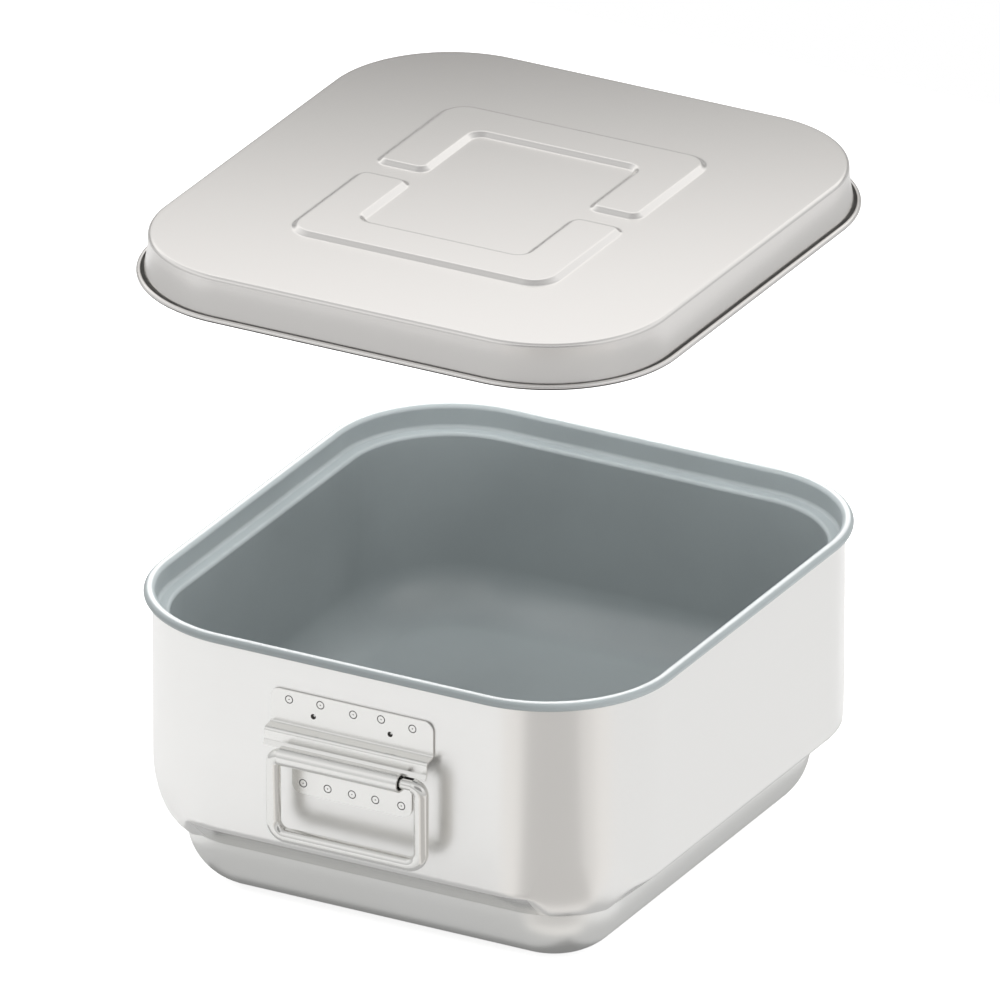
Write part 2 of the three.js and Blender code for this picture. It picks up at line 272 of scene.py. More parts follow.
def corner_turns():
    """(corner, angle, share) round the box; the share grows from 0 on a flat side to 1 inside a corner."""
    turns = []
    for corner in range(4):
        for i in range(CORNER_STEPS + 1):
            fraction = i / CORNER_STEPS
            from_side = min(fraction, 1 - fraction)
            share = smooth_step((from_side - CHAMFER_END) / CHAMFER_FADE)
            turns.append((corner, (corner + fraction) * math.pi / 2, share))
    return turns


TURNS = corner_turns()


def outline_point(turn, inset, height, radius):
    """The point at one turn of a rounded rectangle that lies inset from the rim."""
    corner, angle, _ = turn
    sign_x = 1 if corner in (0, 3) else -1
    sign_y = 1 if corner < 2 else -1
    x = sign_x * (RIM_HALF_X - inset - radius) + radius * math.cos(angle)
    y = sign_y * (RIM_HALF_Y - inset - radius) + radius * math.sin(angle)
    return Vector((x, y, height))


def ring(point, radius=None):
    """The outline at an (inset, height) point, with the rim's corner middles unless a radius is given."""
    inset, height = point
    if radius is None:
        radius = RIM_CORNER - inset
    return [outline_point(turn, inset, height, radius) for turn in TURNS]


# Meshes

def band_faces(low, high):
    """Quads between two loops of point numbers."""
    faces = []
    for i in range(len(low)):
        j = (i + 1) % len(low)
        faces.append((low[i], low[j], high[j], high[i]))
    return faces


def skin(rings, closed=False, capped=False):
    """Points and faces of a surface over rings: joined end to start, left open, or capped at both ends."""
    count = len(rings[0])
    points = [point for each in rings for point in each]
    loops = [list(range(k * count, (k + 1) * count)) for k in range(len(rings))]
    faces = []
    for low, high in zip(loops, loops[1:]):
        faces.extend(band_faces(low, high))
    if closed:
        faces.extend(band_faces(loops[-1], loops[0]))
    if capped:
        faces.append(tuple(reversed(loops[0])))
        faces.append(tuple(loops[-1]))
    return points, faces


def new_object(name, points, faces):
    mesh = bpy.data.meshes.new(name)
    mesh.from_pydata([point * MM for point in points], [], faces)
    piece = bpy.data.objects.new(name, mesh)
    bpy.context.scene.collection.objects.link(piece)
    return piece


def dress(piece, material):
    """Smooth faces with sharp edges kept, flat faces kept flat, and one material."""
    piece.data.shade_smooth()
    piece.data.set_sharp_from_angle(angle=SHARP_ANGLE)
    piece.data.materials.clear()
    piece.data.materials.append(material)
    normals = piece.modifiers.new("flat_faces", "WEIGHTED_NORMAL")
    normals.keep_sharp = True
    return piece


# Outer wall: straight, slanted in under the flat sides, rounded in under the corners, down to the seam

def chamfer_section():
    """(step inward, height over the seam) down a flat side, with the bend rounded."""
    slant = math.atan2(SEAM_STEP, CHAMFER_HEIGHT)
    run = CHAMFER_BEND * math.tan(slant / 2)
    points = []
    for i in range(BEND_STEPS + 1):
        angle = slant * i / BEND_STEPS
        step = CHAMFER_BEND * (1 - math.cos(angle))
        points.append((step, CHAMFER_HEIGHT + run - CHAMFER_BEND * math.sin(angle)))
    last_step, last_height = points[-1]
    for i in range(1, BEND_STEPS + 1):
        share = i / BEND_STEPS
        points.append((mix(last_step, SEAM_STEP, share), mix(last_height, 0, share)))
    return points


def corner_section(count):
    """(step inward, height over the seam) down a corner: a quarter ellipse."""
    points = []
    for i in range(count):
        angle = math.pi / 2 * i / (count - 1)
        step = SEAM_STEP * (1 - math.cos(angle))
        points.append((step, CORNER_CURVE_HEIGHT * (1 - math.sin(angle))))
    return points


def lower_wall_rings(offset):
    """Rings from the seam up to the straight wall, moved into the sheet by an offset."""
    flat = chamfer_section()
    rounded = corner_section(len(flat))
    rings = []
    for (flat_step, flat_height), (round_step, round_height) in zip(flat, rounded):
        points = []
        for turn in TURNS:
            share = turn[2]
            step = mix(flat_step, round_step, share)
            height = SEAM_HEIGHT + mix(flat_height, round_height, share) + offset
            inset = WALL_INSET + step + offset
            sharper = step / SEAM_STEP * (RIM_CORNER - SEAM_INSET - SEAM_CORNER)
            points.append(outline_point(turn, inset, height, RIM_CORNER - inset - sharper))
        rings.append(points)
    return rings[::-1]


def outer_wall(material, band_shade_material):
    """The wall's sheet, with a darker material of its own on the slanted bands under the flat sides, which
    paints their shade.
    """
    outside = [*lower_wall_rings(0), ring((WALL_INSET, WALL_TOP))]
    inside = [*lower_wall_rings(SHEET), ring((WALL_INSET + SHEET, WALL_TOP))]
    piece = new_object("outer_wall_sheet", *skin([*outside, *inside[::-1]], closed=True))
    dress(piece, material)
    piece.data.materials.append(band_shade_material)
    shares = [share for _, _, share in TURNS]
    count = len(shares)
    for i in range(count):
        flat = shares[i] == 0 and shares[(i + 1) % count] == 0
        for step in range(BEND_STEPS):
            piece.data.polygons[step * count + i].material_index = int(flat)
    return piece


# Base pan: a shallow bowl closed by the flat base

def base_pan(material):
    top = SEAM_HEIGHT - SEAM_GAP
    curve = arc(SEAM_INSET + BASE_FILLET, top, BASE_FILLET, top, 270, 180)
    curve.insert(0, (SEAM_INSET + BASE_FILLET + SUPPORT, 0))

    def pan_ring(point, offset):
        inset, height = point
        radius = SEAM_CORNER - (inset - SEAM_INSET) - offset
        return ring((inset + offset, min(height + offset, top)), radius)

    outside = [pan_ring(point, 0) for point in curve]
    inside = [pan_ring(point, SHEET) for point in curve]
    piece = new_object("base_pan_sheet", *skin([*outside, *inside[::-1]], capped=True))
    return dress(piece, material)


# Inner pot: floor, wall, ledge and lip in one sheet that ends in the rolled rim

def pot_section():
    """(inset, height) up the inside of the pot, from the floor to the lip."""
    floor_edge = arc(POT_INSET + POT_FILLET, FLOOR_HEIGHT + POT_FILLET, POT_FILLET, POT_FILLET, 270, 180)
    floor_edge.insert(0, (POT_INSET + POT_FILLET + SUPPORT, FLOOR_HEIGHT))
    bend = LEDGE_ROUND
    turn_out = arc(POT_INSET - bend, LEDGE_HEIGHT - bend, bend, bend, 0, 90, BEND_STEPS)
    turn_up = arc(LIP_INSET + bend, LEDGE_HEIGHT + bend, bend, bend, 270, 180, BEND_STEPS)
    return [*floor_edge, *turn_out, *turn_up]


def rolled_rim():
    """(inset, height) round the roll, from the lip's outer face over the top to its inner face."""
    reach = (LIP_INSET + ROLL_RADIUS) / 2
    middle = LIP_INSET - reach
    tuck = math.degrees(math.acos((LIP_INSET - SHEET - middle) / reach))
    return arc(middle, RIM_HEIGHT, reach, ROLL_RADIUS, 360 - tuck, 0, 2 * CURVE_STEPS)


def inner_pot(material):
    inside = pot_section()
    outside = [(inset - SHEET, height - SHEET) for inset, height in inside]
    section = [*outside, *rolled_rim(), *inside[::-1]]
    piece = new_object("inner_pot_sheet", *skin([ring(point) for point in section], capped=True))
    return dress(piece, material)


# Lid: a pressed cover with a flared skirt, a flange, an edge bead and two raised halves of a ring

def rounded_outline(corners):
    """Points round a right-angled outline, given as (x, y, corner radius)."""
    points = []
    for i, (x, y, radius) in enumerate(corners):
        here = Vector((x, y))
        into = (here - Vector(corners[i - 1][:2])).normalized()
        onward = (Vector(corners[(i + 1) % len(corners)][:2]) - here).normalized()
        centre = here + (onward - into) * radius
        for k in range(BEND_STEPS + 1):
            angle = math.pi / 2 * k / BEND_STEPS
            points.append(centre + (into * math.sin(angle) - onward * math.cos(angle)) * radius)
    return points


def ring_half_outline(side, shrink):
    """The outline of one half of the raised ring, drawn in by the shrink all round."""
    outer_x = RING_HALF_X - shrink
    outer_y = RING_HALF_Y - shrink
    inner_x = RING_HALF_X - RING_BAND + shrink
    inner_y = RING_HALF_Y - RING_BAND + shrink
    near = RING_GAP / 2 + shrink
    outer = RING_CORNER - shrink
    inner = RING_INNER_CORNER + shrink
    end = RING_END_ROUND - shrink
    corners = [
        (outer_x, near, end),
        (outer_x, outer_y, outer),
        (-outer_x, outer_y, outer),
        (-outer_x, near, end),
        (-inner_x, near, end),
        (-inner_x, inner_y, inner),
        (inner_x, inner_y, inner),
        (inner_x, near, end),
    ]
    return rounded_outline([(side * x, side * y, radius) for x, y, radius in corners])


def ring_half_steps():
    """(shrink, rise) from the flat sheet, up the soft slope, to the raised top."""
    half = RING_SLOPE / 2
    steps = [(-half - SUPPORT / 2, 0)]
    for i in range(BEND_STEPS + 1):
        share = i / BEND_STEPS
        steps.append((mix(-half, half, share), RING_RISE * smooth_step(share)))
    steps.append((half + SUPPORT / 2, RING_RISE))
    return steps


def inside_loop(point, loop):
    """Whether a plan point lies inside a closed loop of plan points."""
    inside = False
    for first, second in zip(loop, loop[1:] + loop[:1]):
        if (first.y > point.y) != (second.y > point.y):
            crossing = first.x + (point.y - first.y) / (second.y - first.y) * (second.x - first.x)
            if point.x < crossing:
                inside = not inside
    return inside


def flat_fill(points, edge, holes):
    """Triangles between a loop of point numbers and the loops of its holes."""
    numbers = [number for loop in [edge, *holes] for number in loop]
    plan = [points[number].xy for number in numbers]
    lines = []
    start = 0
    for loop in [edge, *holes]:
        lines.extend((start + i, start + (i + 1) % len(loop)) for i in range(len(loop)))
        start += len(loop)
    _, _, triangles, origins, _, _ = delaunay_2d_cdt(plan, lines, [], 0, FILL_TOLERANCE)
    hole_loops = [[points[number].xy for number in hole] for hole in holes]
    faces = []
    for triangle in triangles:
        corners = [numbers[origins[k][0]] for k in triangle]
        middle = sum((points[k].xy for k in corners), Vector((0, 0))) / 3
        if not any(inside_loop(middle, loop) for loop in hole_loops):
            faces.append(tuple(corners))
    return faces


def pressed_top(points, edge, level):
    """Adds the raised halves inside a loop of point numbers; returns the faces that fill it, facing up."""
    faces = []
    holes = []
    for side in (1, -1):
        loops = []
        for shrink, rise in ring_half_steps():
            start = len(points)
            points.extend(Vector((x, y, level + rise)) for x, y in ring_half_outline(side, shrink))
            loops.append(list(range(start, len(points))))
        for low, high in zip(loops, loops[1:]):
            faces.extend(band_faces(low, high))
        faces.append(tuple(loops[-1]))
        holes.append(loops[0])
    return faces + flat_fill(points, edge, holes)


def lid_section():
    """The lid's underside from the flat top outward, then its bead and its outside back to the flat top."""
    flange_top = ROLL_RADIUS + SEAT_GAP + SHEET
    rounding = LID_EDGE_ROUND
    skirt_top = LID_RISE - rounding
    foot_inset = LID_TOP_INSET - LID_FLARE
    foot_height = flange_top - LID_GROOVE
    side = arc(LID_TOP_INSET + rounding, skirt_top, rounding, rounding, 90, 180, BEND_STEPS)
    side.insert(0, (LID_TOP_INSET + rounding + SUPPORT, LID_RISE))
    for k in range(1, LID_FLARE_STEPS):
        share = k / LID_FLARE_STEPS
        flare = LID_FLARE * share ** LID_FLARE_CURVE
        side.append((LID_TOP_INSET - flare, mix(skirt_top, foot_height, share)))
    outside = [*side, (foot_inset, foot_height)]
    inside = [(inset + SHEET, height - SHEET) for inset, height in side]
    inside.append((foot_inset + SHEET, flange_top - SHEET))
    radius = LID_BEAD_RADIUS
    bead_height = flange_top - radius + LID_BEAD_LIFT
    sweep = (LID_BEAD_START, LID_BEAD_END)
    bead = arc(-LID_BEAD_OUT, bead_height, radius, radius, *sweep, 2 * CURVE_STEPS)
    flange_foot = (radius - LID_BEAD_OUT, flange_top - SHEET)
    return [*inside, flange_foot, *bead, *outside[::-1]]


def crevice_shade_step(low, high):
    """Whether a step of the lid's section lies in the groove by the bead or on the bead's underside, where
    shade is painted.
    """
    inset = (low[0] + high[0]) / 2
    height = (low[1] + high[1]) / 2
    groove = LID_CREVICE_SHADE_IN - LID_BEAD_OUT < inset < LID_TOP_INSET - LID_FLARE
    underside = inset < LID_TOP_INSET - LID_FLARE and height < LID_CREVICE_SHADE_HEIGHT
    return groove or underside


def lid(material, crevice_shade_material):
    """The lid's sheet, with a dark material of its own that paints shade in the crevice by the bead and on
    the bead's underside.
    """
    section = lid_section()
    points, faces = skin([ring(point) for point in section])
    count = len(TURNS)
    underside = list(range(count))
    top = list(range(len(points) - count, len(points)))
    below = pressed_top(points, underside, LID_RISE - SHEET)
    faces.extend(tuple(reversed(face)) for face in below)
    faces.extend(pressed_top(points, top, LID_RISE))
    lifted = [point + Vector((0, 0, LID_HEIGHT)) for point in points]
    piece = dress(new_object("lid_sheet", lifted, faces), material)
    piece.data.materials.append(crevice_shade_material)
    for step, (low, high) in enumerate(zip(section, section[1:])):
        dark = crevice_shade_step(low, high)
        for number in range(step * count, (step + 1) * count):
            piece.data.polygons[number].material_index = int(dark)
    return piece


# Handle bracket: one stamped sheet with flange, shelf, land and lip above, a knuckle, and a flange below

def bent_path(corners, bend):
    """A polyline of (out, height) points with each inner corner rounded."""
    path = [Vector(corners[0])]
    for before, here, after in zip(corners, corners[1:], corners[2:]):
        into = (Vector(here) - Vector(before)).normalized()
        onward = (Vector(after) - Vector(here)).normalized()
        turn = into.angle_signed(onward)
        run = bend * math.tan(abs(turn) / 2)
        start = Vector(here) - into * run
        across = Vector((into.y, -into.x)) * math.copysign(bend, turn)
        centre = start + across
        for k in range(BEND_STEPS + 1):
            path.append(centre - Matrix.Rotation(-turn * k / BEND_STEPS, 2) @ across)
    path.append(Vector(corners[-1]))
    return path


def sheet_outline(path):
    """The closed section of a bent sheet round its middle path."""
    left = []
    right = []
    for i, point in enumerate(path):
        into = (point - path[i - 1] if i > 0 else path[1] - point).normalized()
        onward = (path[i + 1] - point).normalized() if i + 1 < len(path) else into
        across = Vector((-into.y - onward.y, into.x + onward.x)).normalized()
        stretch = across.dot(Vector((-into.y, into.x)))
        across *= BRACKET_SHEET / 2 / stretch
        left.append(point + across)
        right.append(point - across)
    return [*left, *right[::-1]]


def turn_outward(piece):
    """Flips a closed mesh whose faces look inward."""
    mesh = piece.data
    mesh.calc_loop_triangles()
    volume = 0
    for triangle in mesh.loop_triangles:
        first, second, third = (mesh.vertices[k].co for k in triangle.vertices)
        volume += first.dot(second.cross(third))
    if volume < 0:
        mesh.flip_normals()


def prism(outline, place, near, far):
    """A solid made by running an outline from near to far; place turns (a, b, along) into a point."""
    rings = [[place(point.x, point.y, along) for point in outline] for along in (near, far)]
    piece = new_object("cutter", *skin(rings, capped=True))
    turn_outward(piece)
    return piece


def section_place(out, height, along):
    """A point given by its way out from the front wall, its height over the rim and its place along."""
    return Vector((along, -WALL_FACE_Y - SEAT_GAP - out, RIM_HEIGHT + height))


def face_place(along, height, out):
    """The same point for an outline that is drawn on the wall's face."""
    return section_place(out, height, along)


def combine(piece, tool, operation):
    """Joins, cuts or intersects a solid with a second one, which is removed."""
    modifier = piece.modifiers.new("combine", "BOOLEAN")
    modifier.operation = operation
    modifier.solver = "EXACT"
    modifier.object = tool
    evaluated = piece.evaluated_get(bpy.context.evaluated_depsgraph_get())
    result = bpy.data.meshes.new_from_object(evaluated)
    piece.modifiers.clear()
    piece.data = result
    bpy.data.objects.remove(tool)


def plate_outline(half, square_end, round_end):
    """A plate's outline, between two heights, with both corners rounded at one of them."""
    corner = round_end - math.copysign(FLANGE_CORNER, round_end - square_end)
    points = [Vector((-half, square_end)), Vector((half, square_end))]
    for side, start, end in ((1, 0, 90), (-1, 90, 0)):
        for k in range(BEND_STEPS + 1):
            angle = math.radians(mix(start, end, k / BEND_STEPS))
            x = side * (half - FLANGE_CORNER + FLANGE_CORNER * math.cos(angle))
            points.append(Vector((x, mix(corner, round_end, math.sin(angle)))))
    return points


def circle(x, y, radius):
    points = []
    for k in range(ROUND_STEPS):
        angle = 2 * math.pi * k / ROUND_STEPS
        points.append(Vector((x + radius * math.cos(angle), y + radius * math.sin(angle))))
    return points


def bracket_sheet():
    """The front bracket's solid: the upper and lower bent sheets, joined, trimmed and drilled."""
    middle = BRACKET_SHEET / 2
    shelf_drop = BRACKET_TOP_DROP + FLANGE_HEIGHT
    land_top = shelf_drop + BRACKET_SHEET
    land_foot = (LAND_OUT, -land_top - LAND_HEIGHT)
    curl = ROD_RADIUS + ROD_CLEARANCE + middle
    curl_foot = -PIVOT_DROP - curl
    knuckle = arc(PIVOT_OUT, -PIVOT_DROP, curl, curl, KNUCKLE_START, KNUCKLE_END, KNUCKLE_STEPS)
    flange = [(middle, -BRACKET_TOP_DROP), (middle, -shelf_drop)]
    upper_path = bent_path([*flange, (LAND_OUT, -land_top), land_foot, knuckle[0]], BRACKET_BEND)
    lower_flange = [(middle, curl_foot), (middle, -LOWER_FLANGE_DROP)]
    lower_path = [Vector(point) for point in [land_foot, *knuckle]]
    lower_path += bent_path([(PIVOT_OUT - BRACKET_BEND, curl_foot), *lower_flange], BRACKET_BEND)
    reach = PIVOT_OUT + 2 * curl
    sheet = prism(sheet_outline(upper_path), section_place, -FLANGE_HALF, FLANGE_HALF)
    plate = plate_outline(FLANGE_HALF, -LOWER_FLANGE_DROP, -BRACKET_TOP_DROP)
    combine(sheet, prism(plate, face_place, -middle, reach), "INTERSECT")
    lower = prism(sheet_outline(lower_path), section_place, -KNUCKLE_HALF, KNUCKLE_HALF)
    plate = plate_outline(KNUCKLE_HALF, 0, -LOWER_FLANGE_DROP)
    combine(lower, prism(plate, face_place, -middle, reach), "INTERSECT")
    combine(sheet, lower, "UNION")
    for side in (-1, 1):
        hole = circle(side * HOLE_HALF_SPACING, -HOLE_DROP, HOLE_RADIUS)
        combine(sheet, prism(hole, face_place, -middle, 2 * BRACKET_SHEET), "DIFFERENCE")
    return sheet


def bracket(name, material, turn):
    piece = bracket_sheet()
    piece.name = name
    piece.data.name = name
    piece.data.transform(turn)
    edges = piece.modifiers.new("edges", "BEVEL")
    edges.width = BRACKET_EDGE * MM
    edges.segments = BRACKET_EDGE_STEPS
    edges.limit_method = "ANGLE"
    edges.angle_limit = SHARP_ANGLE
    return dress(piece, material)


# Spot-weld marks: fine raised rings with a small dot in the middle, on the bracket's two flanges

def weld_mark(points, faces, x, drop):
    """Adds the points and faces of one ring and its dot."""
    loops = []
    for k in range(BEND_STEPS + 1):
        angle = math.pi * k / BEND_STEPS
        radius = WELD_RADIUS + WELD_LINE * math.cos(angle)
        out = BRACKET_SHEET + WELD_PROUD * math.sin(angle)
        start = len(points)
        points.extend(face_place(p.x, p.y, out) for p in circle(x, -drop, radius))
        loops.append(list(range(start, len(points))))
    for low, high in zip(loops, loops[1:]):
        faces.extend(band_faces(low, high))
    start = len(points)
    points.extend(face_place(p.x, p.y, BRACKET_SHEET) for p in circle(x, -drop, WELD_DOT))
    points.append(face_place(x, -drop, BRACKET_SHEET + WELD_PROUD))
    for k in range(ROUND_STEPS):
        faces.append((start + k, start + (k + 1) % ROUND_STEPS, start + ROUND_STEPS))


def weld_marks(name, material, turn):
    points = []
    faces = []
    for x, drop in UPPER_WELDS + LOWER_WELDS:
        weld_mark(points, faces, x, drop)
    piece = new_object(name, points, faces)
    piece.data.transform(turn)
    return dress(piece, material)


# Hole shade rings: a dark ring of painted shade behind each of the bracket's two holes, where the gap to the
# wall lies in shadow

def hole_shade_rings(name, material, turn):
    points = []
    faces = []
    for side in (-1, 1):
        loops = []
        for radius in (HOLE_RADIUS + HOLE_SHADE_LAP, HOLE_SHADE_INNER):
            start = len(points)
            rim = circle(side * HOLE_HALF_SPACING, -HOLE_DROP, radius)
            points.extend(face_place(p.x, p.y, -SEAT_GAP / 2) for p in rim)
            loops.append(list(range(start, len(points))))
        faces.extend(band_faces(*loops))
    piece = new_object(name, points, faces)
    piece.data.transform(turn)
    return dress(piece, material)


# Drop handle: a bent rod whose ends step down to the pins in the knuckle

def handle_route():
    """(x, height, radius) along the rod's middle, from one pin's end to the other's."""
    elbow = ARM_HALF - ELBOW_BEND
    grip = ARM_HALF - GRIP_BEND
    grip_height = -HANDLE_DROP + GRIP_BEND
    half = [(PIN_LENGTH - elbow, 0, PIN_RADIUS), (-elbow, 0, PIN_RADIUS)]
    half.append((-elbow, 0, ROD_RADIUS - SHOULDER_ROUND))
    half.append((-elbow - SHOULDER_ROUND / 2, 0, ROD_RADIUS))
    for x, height in arc(-elbow, -ELBOW_BEND, ELBOW_BEND, ELBOW_BEND, ELBOW_START, 180):
        half.append((x, height, ROD_RADIUS))
    for x, height in arc(-grip, grip_height, GRIP_BEND, GRIP_BEND, 180, 270):
        half.append((x, height, ROD_RADIUS))
    return half + [(-x, height, radius) for x, height, radius in reversed(half)]


def handle(name, material, turn):
    route = handle_route()
    places = [Vector((x, height)) for x, height, _ in route]
    rings = []
    for i, (x, height, radius) in enumerate(route):
        before = places[max(i - 1, 0)]
        after = places[min(i + 1, len(places) - 1)]
        along = (after - before).normalized()
        points = []
        for p in circle(0, 0, radius):
            point_height = height - PIVOT_DROP - along.x * p.y
            point_x = x + along.y * p.y + SIDE_PLAY
            points.append(section_place(PIVOT_OUT + p.x, point_height, point_x))
        rings.append(points)
    piece = new_object(name, *skin(rings, capped=True))
    turn_outward(piece)
    piece.data.transform(turn)
    return dress(piece, material)


# Insulation: hidden, so it keeps its solid and gets a material

def insulation(material):
    filling = frame["nodes"]["insulation"]
    filling.data.materials.clear()
    filling.data.materials.append(material)


# Materials

def shader(name, colour, metallic, roughness):
    material = bpy.data.materials.new(name)
    material.use_nodes = True
    surface = material.node_tree.nodes["Principled BSDF"]
    surface.inputs["Base Color"].default_value = (*colour, 1)
    surface.inputs["Metallic"].default_value = metallic
    surface.inputs["Roughness"].default_value = roughness
    return material, surface


def noise(material, scale, detail, stretch=(1, 1, 1)):
    """A noise texture in the object's own place, stretched along its axes."""
    nodes = material.node_tree.nodes
    links = material.node_tree.links
    place = nodes.new("ShaderNodeTexCoord")
    mapping = nodes.new("ShaderNodeMapping")
    mapping.inputs["Scale"].default_value = stretch
    texture = nodes.new("ShaderNodeTexNoise")
    texture.inputs["Scale"].default_value = scale
    texture.inputs["Detail"].default_value = detail
    links.new(place.outputs["Object"], mapping.inputs["Vector"])
    links.new(mapping.outputs["Vector"], texture.inputs["Vector"])
    return texture.outputs["Fac"]


def vary_roughness(material, surface, source, low, high):
    """Drives the roughness between two values by a texture."""
    ramp = material.node_tree.nodes.new("ShaderNodeMapRange")
    ramp.interpolation_type = "SMOOTHSTEP"
    ramp.inputs["From Min"].default_value = NOISE_LOW
    ramp.inputs["From Max"].default_value = NOISE_HIGH
    ramp.inputs["To Min"].default_value = low
    ramp.inputs["To Max"].default_value = high
    material.node_tree.links.new(source, ramp.inputs["Value"])
    material.node_tree.links.new(ramp.outputs["Result"], surface.inputs["Roughness"])


def vary_colour(material, surface, source, low, high):
    """Drives the colour between two colours by a texture."""
    ramp = material.node_tree.nodes.new("ShaderNodeValToRGB")
    ramp.color_ramp.interpolation = "EASE"
    ramp.color_ramp.elements[0].position = NOISE_LOW
    ramp.color_ramp.elements[0].color = (*low, 1)
    ramp.color_ramp.elements[1].position = NOISE_HIGH
    ramp.color_ramp.elements[1].color = (*high, 1)
    material.node_tree.links.new(source, ramp.inputs["Fac"])
    material.node_tree.links.new(ramp.outputs["Color"], surface.inputs["Base Color"])


def relief(material, surface, source, strength, depth):
    """Roughens the surface a little by a texture, up to a depth in millimetres."""
    bump = material.node_tree.nodes.new("ShaderNodeBump")
    bump.inputs["Strength"].default_value = strength
    bump.inputs["Distance"].default_value = depth * MM
    material.node_tree.links.new(source, bump.inputs["Height"])
    material.node_tree.links.new(bump.outputs["Normal"], surface.inputs["Normal"])


def brushed_round(material, surface, amount):
    """Stretches reflections up and down, as fine lines brushed round the box do."""
    tangent = material.node_tree.nodes.new("ShaderNodeTangent")
    tangent.direction_type = "RADIAL"
    tangent.axis = "Z"
    material.node_tree.links.new(tangent.outputs["Tangent"], surface.inputs["Tangent"])
    surface.inputs["Anisotropic"].default_value = amount
    surface.inputs["Anisotropic Rotation"].default_value = QUARTER_TURN


def wall_steel():
    material, surface = shader("wall_steel", (0.86, 0.855, 0.84), metallic=1, roughness=0.3)
    lines = noise(material, scale=1, detail=3, stretch=(6, 6, 900))
    vary_roughness(material, surface, lines, 0.28, 0.32)
    brushed_round(material, surface, amount=0.5)
    return material


# Painted shade: a darker copy of the wall steel for the slanted bands, which face down into shade; it is
# also glossier and not brushed, and the patches vary its tone at random
def band_shaded_steel():
    material, surface = shader("band_shaded_steel", (0.75, 0.745, 0.73), metallic=1, roughness=0.2)
    patches = noise(material, scale=30, detail=2)
    vary_roughness(material, surface, patches, 0.17, 0.23)
    vary_colour(material, surface, patches, (0.735, 0.73, 0.715), (0.765, 0.76, 0.745))
    return material


def base_steel():
    material, surface = shader("base_steel", (0.86, 0.86, 0.84), metallic=1, roughness=0.4)
    grain = noise(material, scale=900, detail=2)
    patches = noise(material, scale=9, detail=2)
    vary_roughness(material, surface, grain, 0.38, 0.42)
    vary_colour(material, surface, patches, (0.85, 0.85, 0.83), (0.87, 0.87, 0.855))
    return material


def lid_steel():
    material, _ = shader("lid_steel", (0.8, 0.782, 0.764), metallic=1, roughness=0.27)
    return material


# Painted shade: near-black steel in the lid's groove and under its bead, where shade falls; the noise
# mottles that shade at random
def crevice_shade_steel():
    material, surface = shader("crevice_shade_steel", (0.05, 0.048, 0.045), metallic=0.5, roughness=0.6)
    shade_mottle = noise(material, scale=300, detail=2)
    vary_colour(material, surface, shade_mottle, (0.035, 0.033, 0.03), (0.07, 0.067, 0.062))
    return material


def bright_steel():
    material, surface = shader("bright_steel", (0.83, 0.825, 0.805), metallic=1, roughness=0.27)
    scuffs = noise(material, scale=35, detail=1)
    vary_roughness(material, surface, scuffs, 0.22, 0.27)
    vary_colour(material, surface, scuffs, (0.825, 0.82, 0.8), (0.835, 0.83, 0.812))
    return material


def rod_steel():
    material, surface = shader("rod_steel", (0.79, 0.785, 0.765), metallic=1, roughness=0.14)
    scuffs = noise(material, scale=35, detail=1)
    vary_roughness(material, surface, scuffs, 0.13, 0.15)
    return material


# Dark weld tint on the spot-weld rings, which the real welds have; the same material paints the shade in the
# rings behind the bracket's holes
def weld_tint_and_hole_shade_steel():
    material, surface = shader("weld_tint_and_hole_shade_steel", (0.06, 0.057, 0.055), metallic=0.3, roughness=0.6)
    burn = noise(material, scale=900, detail=2)
    vary_colour(material, surface, burn, (0.04, 0.038, 0.036), (0.09, 0.086, 0.082))
    return material


def painted_crest_highlight(material, surface):
    """Paints a highlight along the very top of the rolled rim, fading the coating to a pale colour there."""
    nodes = material.node_tree.nodes
    links = material.node_tree.links
    place = nodes.new("ShaderNodeTexCoord")
    axes = nodes.new("ShaderNodeSeparateXYZ")
    fade = nodes.new("ShaderNodeMapRange")
    fade.interpolation_type = "SMOOTHSTEP"
    fade.inputs["From Min"].default_value = (RIM_TOP - CREST_HIGHLIGHT_FADE) * MM
    fade.inputs["From Max"].default_value = RIM_TOP * MM
    blend = nodes.new("ShaderNodeMixRGB")
    blend.inputs["Color2"].default_value = (*CREST_HIGHLIGHT_COLOUR, 1)
    coating = surface.inputs["Base Color"].links[0].from_socket
    links.new(place.outputs["Object"], axes.inputs["Vector"])
    links.new(axes.outputs["Z"], fade.inputs["Value"])
    links.new(fade.outputs["Result"], blend.inputs["Fac"])
    links.new(coating, blend.inputs["Color1"])
    links.new(blend.outputs["Color"], surface.inputs["Base Color"])


def pot_coating():
    material, surface = shader("pot_coating", (0.265, 0.295, 0.302), metallic=0, roughness=0.34)
    surface.inputs["Specular IOR Level"].default_value = 0.8
    grain = noise(material, scale=1800, detail=2)
    clouds = noise(material, scale=12, detail=3)
    vary_roughness(material, surface, grain, 0.32, 0.36)
    vary_colour(material, surface, clouds, (0.255, 0.284, 0.291), (0.275, 0.306, 0.313))
    relief(material, surface, grain, strength=0.05, depth=0.1)
    painted_crest_highlight(material, surface)
    return material


def foam():
    material, surface = shader("foam", (0.78, 0.7, 0.45), metallic=0, roughness=0.95)
    cells = noise(material, scale=700, detail=3)
    vary_colour(material, surface, cells, (0.7, 0.62, 0.38), (0.82, 0.75, 0.5))
    relief(material, surface, cells, strength=0.5, depth=0.6)
    return material


# Stage: floor and sky

def feed(tree, socket, given):
    """Gives a node's input a plain number or links it to another node's output."""
    if isinstance(given, bpy.types.NodeSocket):
        tree.links.new(given, socket)
    else:
        socket.default_value = given


